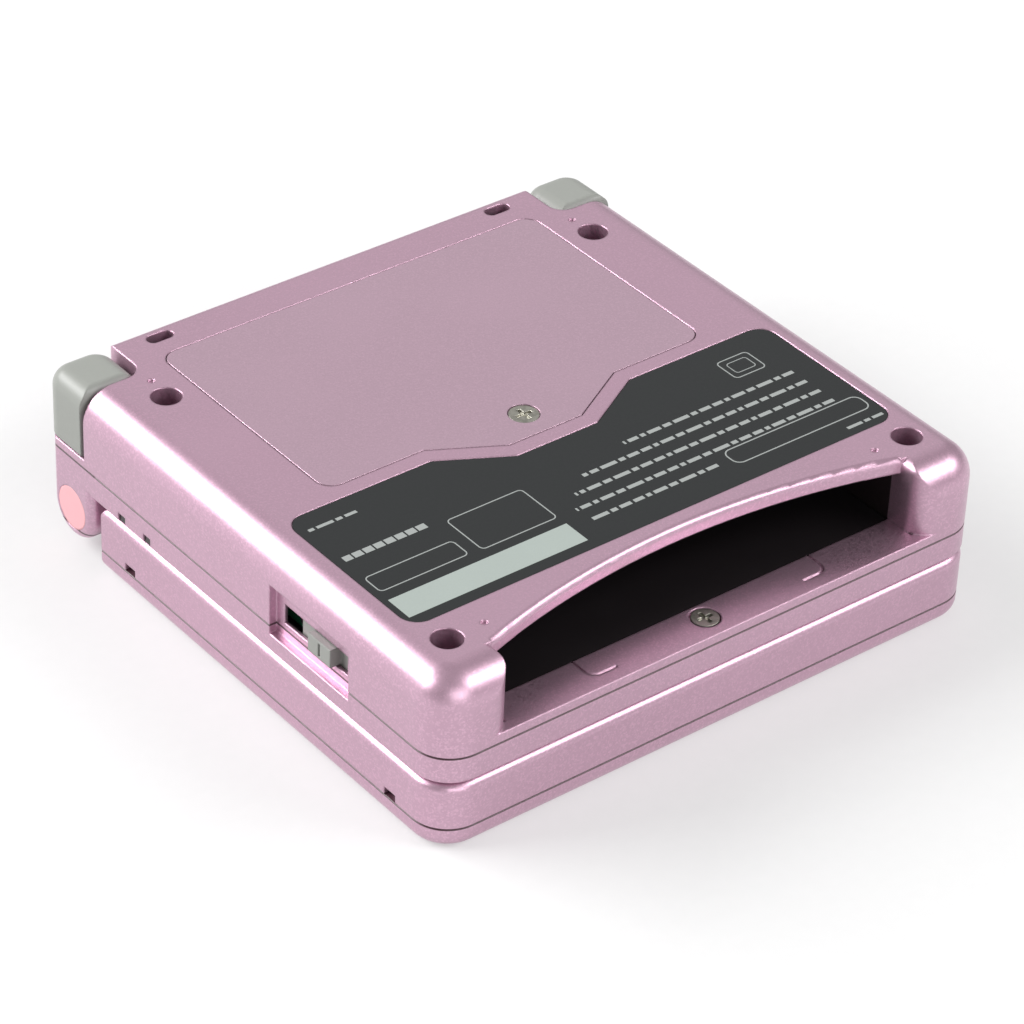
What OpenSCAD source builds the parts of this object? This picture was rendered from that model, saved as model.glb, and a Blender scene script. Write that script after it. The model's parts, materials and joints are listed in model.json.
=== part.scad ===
// Clamshell handheld game console, closed and lying on its lid.
// Z points out of the base's back, Y from the front edge to the hinge, and X along the hinge.
// The origin is on the table under the middle of the closed console.

/* [Overall] */
// Width of both halves along the hinge
body_w = 84; // [82:0.5:88]
// Depth from the front edge to the back of the hinge
body_d = 82; // [81:0.5:86]
// Thickness of the closed console
body_h = 24.4; // [24:0.2:27]
// Plan radius of the outer corners
corner_r = 5; // [4.6:0.2:6]

/* [Lid] */
// Thickness of the lid half
lid_t = 9.4; // [9.2:0.1:9.8]
// Height of the joint between the lid's two shells
lid_seam = 3; // [2.6:0.1:3.2]
// Wall of the lid's shells
lid_wall = 1.4; // [1.2:0.1:1.6]
// Fillet round the lid's outer face
lid_edge_r = 1.9; // [1.6:0.1:2.2]
// Space between the lid's back wall and the hinge barrels
lid_back_gap = 2.2; // [1.8:0.1:2.6]
// How far the screen face lies under the lid's rim
screen_drop = 1; // [0.8:0.1:1.2]
// Width of the lid's rim on each side of the screen window
lens_side = 6; // [5.8:0.1:7]
// Thickness of the screen window
lens_t = 0.8; // [0.6:0.1:1]

/* [Base] */
// Running gap between the closed halves
shut_gap = 0.3; // [0.2:0.05:0.5]
// Height of the joint between the base's two shells, above the table
base_seam = 13.4; // [13.1:0.1:13.5]
// Wall of the base's shells
base_wall = 1.6; // [1.4:0.1:1.8]
// Fillet round the base's back
base_edge_r = 4.4; // [3.8:0.1:4.6]
// Depth that the control panel lies under the face's rim
panel_drop = 0.6; // [0.5:0.05:0.7]
// Thickness of the control panel
panel_t = 1.2; // [1:0.1:1.3]

/* [Hinge] */
// Radius of the hinge barrels
barrel_r = 4.4; // [4.2:0.1:4.6]
// Height of the hinge axis above the table
axis_z = 5.7; // [5.5:0.05:5.8]
// Length of each end barrel on the base
arm_w = 8.8; // [8:0.2:10]
// Radius of the hinge axles
axle_r = 2.5; // [2.2:0.1:2.7]
// Running clearance round the axles
axle_clear = 0.05; // [0.03:0.01:0.08]
// How far each axle reaches into the lid's barrel
axle_reach = 9; // [7:0.5:12]
// Radius of the round hinge caps
cap_r = 3; // [2.8:0.1:3.1]
// Thickness of the hinge caps
cap_t = 1.6; // [1.2:0.1:2]

/* [Cartridge slot] */
// Width of the round-nosed corners beside the cartridge slot
lobe_w = 10.5; // [10:0.1:11]
// Depth of the slot from the front edge
slot_d = 33.5; // [33:0.1:34]
// Height of the slot's sill above the joint of the shells
sill_rise = 1.4; // [1.3:0.1:1.7]
// Depth of the sill behind the front edge
sill_d = 5.8; // [5:0.2:7]
// How far the finger scoop reaches behind the slot's ends
scoop_d = 4.8; // [4:0.2:5.5]

/* [Battery] */
// Space between the battery cover and each side of the console
cover_side = 12.7; // [12.5:0.1:13.5]
// Thickness of the battery cover
cover_t = 1.3; // [1.2:0.1:1.4]
// Reach of the cover's tongue towards the cartridge slot
tongue_d = 5.1; // [4.6:0.1:5.4]
// Rim of the battery cover that rests beside the battery bay
cover_rim = 2.7; // [2.5:0.1:3.5]

/* [Controls] */
// Span of the direction pad
pad_span = 19.2; // [18:0.2:20]
// Width of each arm of the direction pad
pad_arm = 6.4; // [5.8:0.1:7]
// Radius of the action buttons
action_r = 4.6; // [4.2:0.1:4.9]
// Radius of the two small round buttons
small_r = 2.4; // [2:0.1:2.7]
// Radius of the screen light button
light_r = 2.2; // [1.8:0.1:2.5]
// How far the pad and action buttons stand out of the panel
button_rise = 1.1; // [0.9:0.05:1.15]
// Clearance round every button
button_clear = 0.25; // [0.2:0.05:0.4]
// Width of each shoulder button
shoulder_w = 8.8; // [8.4:0.1:9]
// Depth of each shoulder button
shoulder_d = 8.2; // [7.8:0.1:8.4]
// Clearance beside each shoulder button
shoulder_gap = 0.3; // [0.25:0.05:0.4]
// Clearance in front of each shoulder button, which it swings through
shoulder_swing = 0.7; // [0.6:0.05:1]
// Radius of each shoulder button's pin
pin_r = 0.9; // [0.8:0.05:1]
// Length of the power switch's opening
switch_w = 12.6; // [12:0.2:13]
// Height of the power switch's opening
switch_h = 2.8; // [2.6:0.1:3]
// Travel of the power switch
switch_travel = 3; // [2.4:0.1:3.2]
// Travel of the volume slider
volume_travel = 6; // [5:0.2:7]

/* [Fasteners] */
// Radius of the deep screw holes in the base's back
well_r = 2; // [1.8:0.05:2.1]
// Radius of the screw shanks
shank_r = 1; // [0.9:0.05:1.05]
// Radius of the case screws' heads
head_r = 1.75; // [1.6:0.05:1.8]
// Radius of the battery cover screw's head
cover_head_r = 1.95; // [1.8:0.05:2.1]

/* [Hidden] */
$fn = 64;
touch = 0.02;            // clearance of pieces that rest against each other
over = 1;                // how far a cutter runs past what it cuts
front_y = -body_d / 2;
back_y = body_d / 2;
side_x = body_w / 2;
seam_r = 0.2;            // radius that shows each shell joint as a fine line
barrel_inset = 1.4;      // the barrels lie this far inside the shoulder buttons' backs
axis_y = back_y - barrel_inset - barrel_r;
arm_x = side_x - arm_w;  // inner face of each end barrel
barrel_edge_r = 1.3;     // fillet round each end barrel's outer end
barrel_gap = 0.4;        // clearance between the barrels and the other half
lid_back = axis_y - barrel_r - lid_back_gap;
lid_d = lid_back - front_y;
lid_mid = (lid_back + front_y) / 2;
lid_rim_r = 1.2;         // fillet round the lid's edge at the gap
screen_z = lid_t - screen_drop;
plate_t = 1.2;           // the lid's inner face
plate_z = screen_z - plate_t;
lens_w = body_w - 2 * lens_side;
lens_d = lid_back - front_y - 16.6;
rim_w = 2.4;
base_z = lid_t + shut_gap;
back_wall_y = back_y - 0.8;
rear_edge_r = 1.4;
panel_z = base_z + panel_drop;
panel_in = panel_z + panel_t;
base_in_x = side_x - base_wall;
roof_z = body_h - base_wall;
board_t = 1;
board_z = base_seam + 0.1;
board_top = board_z + board_t;
// plan of the base's fasteners, [x, y], one for each side
front_screw = [side_x - 6.6, front_y + 7.9];
back_screw = [side_x - 8.3, back_y - 15];
well_floor = board_top + 0.3;    // seat of the case screws' heads
post_r = 2.7;
pilot_r = shank_r + 0.05;
hole_r = shank_r + 0.15;
head_t = 1;
tube_r = well_r + 1.1;
// lid screws, [x, y]
lid_screw_x = side_x - 5.8;
lid_screw_front = front_y + 5.4;
lid_screw_back = lid_back - 5;
lid_screw_at = [[-lid_screw_x, lid_screw_front], [lid_screw_x, lid_screw_front], [0, lid_screw_front],
    [0.4 - lid_screw_x, lid_screw_back], [lid_screw_x - 0.4, lid_screw_back]];
lid_boss_r = 2.9;
plug_r = 2.1;
plug_clear = 0.05;
lid_head_z = plate_z - 0.2;
// cartridge slot
slot_x = side_x - lobe_w;
slot_back = front_y + slot_d;
slot_roof = body_h - 2.1;
slot_wall = 1.2;
sill_z = base_seam + sill_rise;
sill_back = front_y + sill_d;
lobe_r = 3;              // plan radius of each round nose
lobe_edge_r = 1.4;
lip_r = 0.8;             // rounded lip of the finger scoop
connector_d = 3.4;
pin_row_x = 24;
pin_row_z = board_top + 2.7;
connector_room = slot_back + connector_d + 0.2;
scoop_mouth = front_y + 4.6;     // where the scoop's ends meet the front
scoop_r = (slot_x * slot_x + scoop_d * scoop_d) / (2 * scoop_d);
// battery bay
cover_back = back_y - 7.1;
cover_front = slot_back + 6.1;
cover_d = cover_back - cover_front;
cover_w = body_w - 2 * cover_side;
cover_corner = 2.2;
tongue_root = 0.254 * cover_w;
tongue_tip = 0.096 * cover_w;
tongue_slope = atan(tongue_d / (tongue_root - tongue_tip));
cover_gap = 0.15;
cover_seat = body_h - cover_t - touch;
ledge_grow = 1.2;
ledge_t = 0.8;
cover_screw_y = cover_front - 0.8;
cover_screw_z = body_h - 0.7;
cover_screw_l = 4.2;
cover_post_r = 2;
bay_floor = board_top + 0.9;
bay_floor_t = 0.8;
bay_wall = 1.2;
battery_gap = 0.3;
contact_w = 1.6;
contact_reach = 7.5;
contact_z = bay_floor + 1.1;
contact_h = 4;
bay_front = cover_front + cover_rim - 0.9;
bay_back = cover_back - cover_rim - 1.1;
bay_x = cover_w / 2 - cover_rim - contact_w;
battery_w = 2 * (bay_x - battery_gap);
battery_d = bay_back - bay_front - 2 * battery_gap;
battery_y = (bay_front + bay_back) / 2;
battery_t = cover_seat - bay_floor - 1.68;
// label
label_x = side_x - 4.6;
label_front = front_y + 11.85;
label_grow = 2.35;
label_back = cover_front - label_grow;
label_corner = 2.6;
label_t = 0.25;
label_sink = 0.3;
// controls, [x, y]; the pad is on the player's left and the action buttons on the right
control_y = lid_mid + 11.2;
pad_at = [side_x - 16.5, control_y];
a_at = [9 - side_x, control_y + 4];
b_at = [20.6 - side_x, control_y - 1.4];
start_at = [-7.6, front_y + 14];
select_at = [7.6, front_y + 14];
light_at = [0, lid_back - 7.6];
speaker_at = [0, control_y - 14];
button_z = panel_z - button_rise;
small_z = panel_z - 0.5;
press = 0.8;             // travel of the push buttons
flange_t = 0.5;
pad_flange_r = 7.2;
pad_flange_z = panel_in + 0.55;
pad_flange_t = 0.4;
pad_pivot_z = pad_flange_z;
pad_pivot_r = 0.9;
action_flange_z = panel_in + 0.05;
dome_top = action_flange_z + flange_t + press + 0.03;
rubber_t = 0.4;          // web of each rubber mat
rubber_top = board_z - touch;
speaker_r = 9;
// shoulders
shoulder_floor = base_seam + 1.2;    // the ledge that each shoulder button turns on
shoulder_z = shoulder_floor + 0.15;
shoulder_top = body_h - 0.2;
notch_x = side_x - shoulder_w - shoulder_gap;
notch_y = back_y - shoulder_d - shoulder_swing;
notch_r = 2.4;
pin_floor = 0.4;         // floor of the pins' holes above the joint of the shells
pin_x = notch_x + shoulder_gap + 2.5;
pin_y = back_y - 5.5;
pin_top = shoulder_top - 3.7;
// power switch and volume slider in the side walls
switch_y = front_y + 25.6;
switch_z = board_top + 1.2;
recess_d = 1.1;
recess_grow = 3.2;
recess_z = base_seam - 1.2;
recess_h = 7.2;
knob_sink = 0.15;        // how far each knob stays inside the console's side
slider_t = 0.8;
slider_gap = 0.15;
slider_lip = 0.7;        // overlap of each slider behind its opening
volume_y = front_y + 27;
volume_w = volume_travel + 4.6;
slider_body_top = switch_z + 1.8;
// ports in the back wall
link_w = 12.4;
link_h = 0.65 * (roof_z - board_top);
link_z = board_top + 0.4 + link_h / 2;
jack_x = 17.5;
jack_w = 9;
jack_h = 0.63 * link_h;
port_depth = 7;
port_wall = 0.6;

// ---------- shared shapes ----------

// Section of a slab, w wide, from z0 to z1, with rounded top and bottom edges
module slab_section(w, z0, z1, top_r, bottom_r) {
    intersection() {
        union() {
            translate([-w / 2, z0 + bottom_r]) square([w, z1 - z0 - top_r - bottom_r]);
            rounded_end(w, z1 - top_r, top_r);
            rounded_end(w, z0 + bottom_r, bottom_r);
        }
        translate([-w / 2, z0]) square([w, z1 - z0]);
    }
}

module rounded_end(w, z, r) {
    if (r > 0) {
        translate([r - w / 2, z - r]) square([w - 2 * r, 2 * r]);
        for (s = [-1, 1]) translate([s * (w / 2 - r), z]) circle(r);
    }
}

// Slab from front to back, with round plan corners and rounded edges
module slab(w, front, back, z0, z1, plan_r, top_r = 0, bottom_r = 0) {
    d = back - front;
    mid = (front + back) / 2;
    translate([0, back - plan_r, 0]) rotate([90, 0, 0])
        linear_extrude(d - 2 * plan_r) slab_section(w, z0, z1, top_r, bottom_r);
    translate([plan_r - w / 2, mid, 0]) rotate([90, 0, 90])
        linear_extrude(w - 2 * plan_r) slab_section(d, z0, z1, top_r, bottom_r);
    for (x = [-1, 1], y = [front + plan_r, back - plan_r])
        translate([x * (w / 2 - plan_r), y, 0]) rotate_extrude() intersection() {
            slab_section(2 * plan_r, z0, z1, top_r, bottom_r);
            translate([0, z0]) square([plan_r, z1 - z0]);
        }
}

// Slab that is cut off square at the back, with a round upper or lower edge there
module square_back_slab(w, front, back, z0, z1, plan_r, top_r = 0, bottom_r = 0, back_r = 0) {
    low = bottom_r > top_r;
    edge_z = low ? z0 : z1;
    inward = low ? back_r : -back_r;
    difference() {
        slab(w, front, back + 2 * plan_r, z0, z1, plan_r, top_r, bottom_r);
        block([-w, back, z0 - over], [w, back + 3 * plan_r, z1 + over]);
        if (back_r > 0) difference() {
            block([-w, back - back_r, min(edge_z - over, edge_z + inward)],
                [w, back + over, max(edge_z + over, edge_z + inward)]);
            rod(-w - over, w + over, back - back_r, edge_z + inward, back_r);
        }
    }
}

// Flat rounded rectangle
module round_rect(w, d, r) {
    square([w - 2 * r, d], center = true);
    square([w, d - 2 * r], center = true);
    for (x = [-1, 1], y = [-1, 1]) translate([x * (w / 2 - r), y * (d / 2 - r)]) circle(r);
}

// Block from corner to corner
module block(low, high) {
    translate(low) cube(high - low);
}

// Cylinder along X between two places
module rod(x0, x1, y, z, r) {
    translate([x0, y, z]) rotate([0, 90, 0]) cylinder(r = r, h = x1 - x0);
}

// Cylinder along X up to x1, with a rounded end there
module round_end_rod(x0, x1, y, z, r, end_r) {
    translate([x0, y, z]) rotate([0, 90, 0]) rotate_extrude() {
        square([r, x1 - x0 - end_r]);
        square([r - end_r, x1 - x0]);
        translate([r - end_r, x1 - x0 - end_r]) intersection() {
            circle(end_r);
            square(end_r);
        }
    }
}

module both_sides() {
    children();
    mirror([1, 0, 0]) children();
}

module post(at, z0, z1, r) {
    translate([at[0], at[1], z0]) cylinder(r = r, h = z1 - z0);
}

// Screw with a flat head and a cross slot, its head's seat at z
module screw(at, z, r_head, h_head, r, length) {
    cut_w = r_head * 0.28;
    difference() {
        union() {
            post(at, z, z + h_head, r_head);
            post(at, z - length, z, r);
        }
        for (a = [0, 90])
            translate([at[0], at[1], z + h_head * 0.45]) rotate(a)
                translate([-r_head * 0.6, -cut_w / 2, 0]) cube([r_head * 1.2, cut_w, h_head]);
    }
}

// ---------- lid ----------

module lid_cover() {
    tail_y = axis_y - barrel_r + 0.2;    // clear of the base when the console is open
    color("pink") difference() {
        union() {
            difference() {
                square_back_slab(body_w, front_y, lid_back, 0, lid_seam, corner_r, seam_r, lid_edge_r,
                    lid_edge_r - 0.4);
                slab(body_w - 2 * lid_wall, front_y + lid_wall, lid_back - lid_wall, lid_wall,
                    lid_seam + over, corner_r - lid_wall);
            }
            for (p = lid_screw_at) post(p, lid_wall - touch, lid_head_z - 1.6, lid_boss_r - 0.3);
            block([-arm_x + barrel_gap, lid_back - lid_wall, 0.35], [arm_x - barrel_gap, tail_y, lid_seam]);
        }
        rod(-side_x, side_x, axis_y, axis_z, barrel_r + touch);
        for (p = lid_screw_at) post(p, lid_wall, lid_t, pilot_r);
    }
}

module lid_bezel() {
    inner_front = front_y + lid_wall;
    color("pink") difference() {
        union() {
            difference() {
                square_back_slab(body_w, front_y, lid_back, lid_seam, lid_t, corner_r, lid_rim_r, seam_r, lid_rim_r);
                slab(body_w - 2 * lid_wall, inner_front, lid_back - lid_wall, lid_seam - over, plate_z,
                    corner_r - lid_wall);
                slab(body_w - 2 * rim_w, front_y + rim_w, lid_back - rim_w, screen_z, lid_t + over,
                    corner_r - rim_w);
            }
            for (p = lid_screw_at) post(p, lid_head_z - 1.6 + touch, screen_z, lid_boss_r);
            block([-arm_x + barrel_gap, lid_back - lid_wall, lid_seam], [arm_x - barrel_gap, axis_y, lid_t]);
            rod(-arm_x + barrel_gap, arm_x - barrel_gap, axis_y, axis_z, barrel_r);
        }
        rod(-side_x, side_x, axis_y, axis_z, axle_r + axle_clear);
        screen_window();
        for (p = lid_screw_at) {
            post(p, lid_head_z, lid_t + over, plug_r + plug_clear);
            post(p, 0, lid_t, hole_r);
        }
        both_sides() lid_pry_notches();
    }
}

module screen_window() {
    view_w = lens_w - 8;
    view_d = lens_d - 9;
    translate([0, lid_mid, screen_z - lens_t]) linear_extrude(over + lens_t)
        round_rect(lens_w + 0.2, lens_d + 0.2, 3.1);
    translate([0, lid_mid, plate_z - over]) linear_extrude(plate_t + 2 * over)
        round_rect(view_w, view_d, 1.2);
}

// Small notches at the joint of the lid's shells
module lid_pry_notches() {
    notch = [0.9, 2.2, 1.2];
    for (y = [front_y + 9.4, lid_back - 6.4])
        block([side_x - notch[0], y - notch[1] / 2, lid_seam - over],
            [side_x + over, y + notch[1] / 2, lid_seam + notch[2]]);
}

module screen_lens() {
    color("dimgray") translate([0, lid_mid, screen_z - lens_t]) linear_extrude(lens_t)
        round_rect(lens_w, lens_d, 3);
}

guide_t = 0.8;
lcd_t = 1.6;
lcd_w = lens_w - 5;
lcd_d = lens_d - 6;
lcd_z = plate_z - guide_t - lcd_t;

module light_guide() {
    color("white") translate([0, lid_mid, plate_z - guide_t - touch]) linear_extrude(guide_t)
        square([lcd_w, lcd_d], center = true);
}

module lcd_panel() {
    color("darkslategray") translate([0, lid_mid, lcd_z - touch]) linear_extrude(lcd_t - touch)
        square([lcd_w, lcd_d], center = true);
}

module lcd_tray() {
    tray_t = lcd_z - 2 * touch - lid_wall;
    color("gray") translate([0, lid_mid, lid_wall]) difference() {
        linear_extrude(tray_t) square([lcd_w, lcd_d], center = true);
        translate([0, 0, -over]) linear_extrude(tray_t - 0.8 + over)
            square([lcd_w - 3, lcd_d - 3], center = true);
    }
}

module lid_screws() {
    color("silver") for (p = lid_screw_at) screw(p, lid_head_z, head_r, 0.6, shank_r, 3.6);
}

module lid_screw_plugs() {
    rise = 0.5;
    color("dimgray") for (p = lid_screw_at)
        post(p, lid_head_z + 0.6 + touch, screen_z + rise, plug_r);
}

// ---------- hinge ----------

module hinge_sleeve() {
    color("silver") difference() {
        rod(-side_x + cap_t + touch, -arm_x + axle_reach, axis_y, axis_z, axle_r);
        rod(-side_x, 0, axis_y, axis_z, axle_r - 0.8);
    }
}

module hinge_shaft() {
    color("silver") {
        rod(arm_x + 0.2, side_x - cap_t - touch, axis_y, axis_z, axle_r);
        rod(arm_x - axle_reach, arm_x + 0.2, axis_y, axis_z, axle_r - 1);
    }
}

module hinge_click_unit() {
    outer = arm_x - barrel_gap;
    color("dimgray") difference() {
        rod(outer - axle_reach - 8, outer, axis_y, axis_z, axle_r + axle_clear - touch);
        rod(arm_x - axle_reach - 0.5, side_x, axis_y, axis_z, axle_r - 1 + axle_clear);
    }
}

module hinge_cap() {
    rod(side_x - cap_t, side_x - touch, axis_y, axis_z, cap_r);
}

module hinge_cap_left() {
    color("mistyrose") mirror([1, 0, 0]) hinge_cap();
}

module hinge_cap_right() {
    color("mistyrose") hinge_cap();
}

// Flat flex lead from the screen, down into the sleeve's mouth
module ribbon_cable() {
    half = axle_r;
    lead_t = 0.3;
    lead_x = -arm_x + axle_reach + 4;
    color("orange") {
        block([lead_x, axis_y - half, axis_z - lead_t / 2], [lead_x + 14, axis_y + half, axis_z + lead_t / 2]);
        rod(-arm_x + axle_reach + 0.5, lead_x + touch, axis_y, axis_z, 1);
    }
}

// ---------- base shells ----------

// Web between an end barrel and the base, with rounded outer corners
module arm_web() {
    translate([arm_x, axis_y, axis_z]) linear_extrude(base_seam - axis_z) {
        translate([0, -barrel_r]) square([arm_w - barrel_edge_r, 2 * barrel_r]);
        translate([0, barrel_edge_r - barrel_r]) square([arm_w, 2 * (barrel_r - barrel_edge_r)]);
        for (y = [-1, 1]) translate([arm_w - barrel_edge_r, y * (barrel_r - barrel_edge_r)])
            circle(barrel_edge_r);
    }
}

module base_arm() {
    difference() {
        union() {
            round_end_rod(arm_x, side_x, axis_y, axis_z, barrel_r, barrel_edge_r);
            arm_web();
            block([arm_x, axis_y - barrel_r - 0.8, base_z + 0.5], [side_x, axis_y, base_seam]);
        }
        rod(side_x - cap_t - touch, side_x + over, axis_y, axis_z, cap_r + touch);
        rod(arm_x - over, side_x, axis_y, axis_z, axle_r + touch);
    }
}

// Openings in the control panel, each cut a clearance wider than its button
module panel_holes() {
    cut = panel_t + 2 * over;
    translate([0, 0, panel_z - over]) {
        translate(pad_at) linear_extrude(cut) pad_cross(2 * button_clear);
        for (p = [a_at, b_at]) translate(p) cylinder(r = action_r + button_clear, h = cut);
        for (p = [start_at, select_at]) translate(p) cylinder(r = small_r + button_clear, h = cut);
        translate(light_at) cylinder(r = light_r + button_clear, h = cut);
        translate(speaker_at) speaker_holes(cut);
    }
}

module speaker_holes(h) {
    r = 0.65;
    cylinder(r = r, h = h);
    for (ring = [1, 2], i = [0:6 * ring - 1])
        rotate(i * 60 / ring) translate([ring * 2.7, 0, 0]) cylinder(r = r, h = h);
}

module pad_cross(grow) {
    for (a = [0, 90]) rotate(a) round_rect(pad_span + grow, pad_arm + grow, 1);
}

module face_shell() {
    rear_wall_in = axis_y - barrel_r - 1.6;
    color("pink") difference() {
        union() {
            difference() {
                slab(body_w, front_y, back_wall_y + corner_r, base_z, base_seam, corner_r, seam_r, 0.5);
                slab(2 * base_in_x, front_y + base_wall, back_wall_y - base_wall, panel_in, base_seam + over,
                    corner_r - base_wall);
                block([-side_x, back_wall_y, 0], [side_x, back_wall_y + 2 * corner_r, body_h]);
            }
            block([-base_in_x, rear_wall_in, panel_in - touch], [base_in_x, back_wall_y, base_seam - 1.2]);
            both_sides() {
                post(front_screw, panel_z + touch, base_seam, post_r);
                post(back_screw, panel_z + touch, base_seam, post_r);
            }
        }
        slab(body_w - 2 * rim_w, front_y + rim_w, lid_back - rim_w, base_z - over, panel_z, corner_r - rim_w);
        rod(-arm_x, arm_x, axis_y, axis_z, barrel_r + barrel_gap);
        both_sides() {
            block([arm_x, axis_y - barrel_r, 0], [side_x + over, back_y + over, base_seam + over]);
            for (p = [front_screw, back_screw]) post(p, panel_in, body_h, pilot_r);
        }
        panel_holes();
        switch_recess(-1, switch_y, switch_w + recess_grow);
        switch_recess(1, volume_y, volume_w + recess_grow);
        led_holes();
    }
    color("pink") both_sides() base_arm();
}

// Shallow recess in a side wall round a slider
module switch_recess(side, y, w) {
    x = side * (side_x - recess_d / 2 + over / 2);
    translate([x, y, recess_z + recess_h / 2]) cube([recess_d + over, w, recess_h], center = true);
}

led_y = [lid_back - 4.7, lid_back - 10.2];
led_w = 1.6;
led_h = 1.3;

module led_holes() {
    for (y = led_y)
        block([-side_x - over, y - led_w / 2, base_z + 0.1], [-base_in_x + 1, y + led_w / 2, base_z + 0.1 + led_h]);
}

module led_windows() {
    color("darkslategray") for (y = led_y)
        block([-side_x + 0.25, y - led_w / 2 + touch, base_z + 0.1 + touch],
            [-base_in_x + 0.9, y + led_w / 2 - touch, base_z + 0.1 + led_h - touch]);
}

// Plan of the battery cover, grown by a clearance
module cover_plan(grow) {
    side_grow = grow * tan(tongue_slope / 2);
    translate([0, (cover_back + cover_front) / 2])
        round_rect(cover_w + 2 * grow, cover_d + 2 * grow, cover_corner + max(grow, 0));
    polygon([
        [-tongue_root - side_grow, cover_front + over], [-tongue_root - side_grow, cover_front - grow],
        [-tongue_tip - side_grow, cover_front - tongue_d - grow],
        [tongue_tip + side_grow, cover_front - tongue_d - grow],
        [tongue_root + side_grow, cover_front - grow], [tongue_root + side_grow, cover_front + over]
    ]);
}

module label_plan(shrink) {
    difference() {
        translate([0, (label_front + label_back) / 2])
            round_rect(2 * (label_x - shrink), label_back - label_front - 2 * shrink, label_corner - shrink);
        cover_plan(label_grow + shrink);
    }
}

// The back shell's outside: all round edges, and a tighter one along the hinge
module back_outside() {
    difference() {
        slab(body_w, front_y, back_wall_y + corner_r + base_edge_r, base_seam, body_h, corner_r,
            base_edge_r, seam_r);
        block([-side_x - over, back_wall_y, 0], [side_x + over, back_y + 2 * corner_r, body_h + over]);
        translate([-side_x, back_wall_y, body_h]) rotate([0, 90, 0]) difference() {
            translate([-over, -rear_edge_r, 0]) cube([rear_edge_r + over, rear_edge_r + over, body_w]);
            translate([rear_edge_r, -rear_edge_r, 0]) cylinder(r = rear_edge_r, h = body_w);
        }
    }
}

// Room for a shoulder button in each rear corner, with a round inner corner
module shoulder_notch() {
    r = notch_r;
    wall_r = 1;
    translate([0, 0, base_seam - over]) linear_extrude(body_h) {
        translate([notch_x + r, notch_y]) square([2 * shoulder_w, 2 * shoulder_d]);
        translate([notch_x, notch_y + r]) square([2 * shoulder_w, 2 * shoulder_d]);
        translate([notch_x + r, notch_y + r]) circle(r);
        difference() {
            translate([notch_x - wall_r, back_wall_y - wall_r]) square(wall_r + over);
            translate([notch_x - wall_r, back_wall_y - wall_r]) circle(wall_r);
        }
    }
}

// Ledge of the back shell under each shoulder button, over the end barrel's web
module shoulder_ledge() {
    x0 = notch_x - 0.5;
    w = side_x - x0;
    difference() {
        translate([x0, axis_y, base_seam]) linear_extrude(shoulder_floor - base_seam) {
            translate([0, notch_y - 0.5 - axis_y]) square([w, axis_y - notch_y + 0.5]);
            square([w - barrel_edge_r, barrel_r]);
            square([w, barrel_r - barrel_edge_r]);
            translate([w - barrel_edge_r, barrel_r - barrel_edge_r]) circle(barrel_edge_r);
        }
        post([pin_x, pin_y], base_seam + pin_floor, body_h, pin_r + touch);
    }
}

module shoulder_walls() {
    t = 1.2;
    intersection() {
        back_outside();
        difference() {
            block([notch_x - t, notch_y - t, base_seam], [side_x, back_y, body_h]);
            shoulder_notch();
        }
    }
}

module back_cavity() {
    top_r = base_edge_r - base_wall;
    difference() {
        slab(2 * base_in_x, front_y + base_wall, back_wall_y - base_wall, base_seam - over, roof_z,
            corner_r - base_wall, top_r, 0);
        block([-slot_x - slot_wall, front_y, slot_roof], [slot_x + slot_wall, connector_room + 0.4, body_h]);
    }
}

// Round-nosed corner beside the cartridge slot
module front_lobe() {
    intersection() {
        back_outside();
        translate([(slot_x + side_x) / 2, 0, 0])
            slab(lobe_w, front_y, back_screw[1], sill_z - 2 * base_edge_r, body_h, lobe_r,
                lobe_edge_r, seam_r);
        block([slot_x, front_y, base_seam], [side_x, scoop_mouth + touch, body_h]);
    }
}

module slot_cut() {
    scoop_y = scoop_mouth + scoop_d - scoop_r;
    block([-slot_x, front_y - over, sill_z], [slot_x, connector_room, slot_roof]);
    block([-slot_x, sill_back, base_seam - over], [slot_x, connector_room, slot_roof]);
    intersection() {
        translate([0, scoop_y, 0]) rotate_extrude($fn = 200) scoop_profile();
        block([-slot_x, front_y - over, sill_z], [slot_x, scoop_mouth + scoop_d + over, body_h + over]);
    }
}

// Half section of the finger scoop's round cutter, which flares at the top into a rounded lip
module scoop_profile() {
    translate([0, sill_z - over]) square([scoop_r, body_h + 2 * over - sill_z]);
    difference() {
        translate([scoop_r - over, body_h - lip_r]) square([lip_r + over, lip_r + over]);
        translate([scoop_r + lip_r, body_h - lip_r]) circle(lip_r, $fn = 64);
    }
}

module bay_solid() {
    x = bay_x + bay_wall;
    block([-x, bay_front - bay_wall, bay_floor - bay_floor_t], [x, bay_back + bay_wall, roof_z + touch]);
    translate([0, 0, cover_seat - ledge_t]) linear_extrude(ledge_t + touch) cover_plan(ledge_grow);
    post([0, cover_screw_y], cover_screw_z - cover_screw_l, roof_z, cover_post_r);
}

module bay_cut() {
    block([-bay_x, bay_front, bay_floor], [bay_x, bay_back, body_h]);
    translate([0, 0, cover_seat]) linear_extrude(cover_t + over) cover_plan(cover_gap);
    block([bay_x - over, battery_y - contact_reach, contact_z],
        [bay_x + contact_w + over, battery_y + contact_reach, contact_z + contact_h]);
    post([0, cover_screw_y], cover_screw_z - cover_screw_l - over, body_h, hole_r);
}

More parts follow.
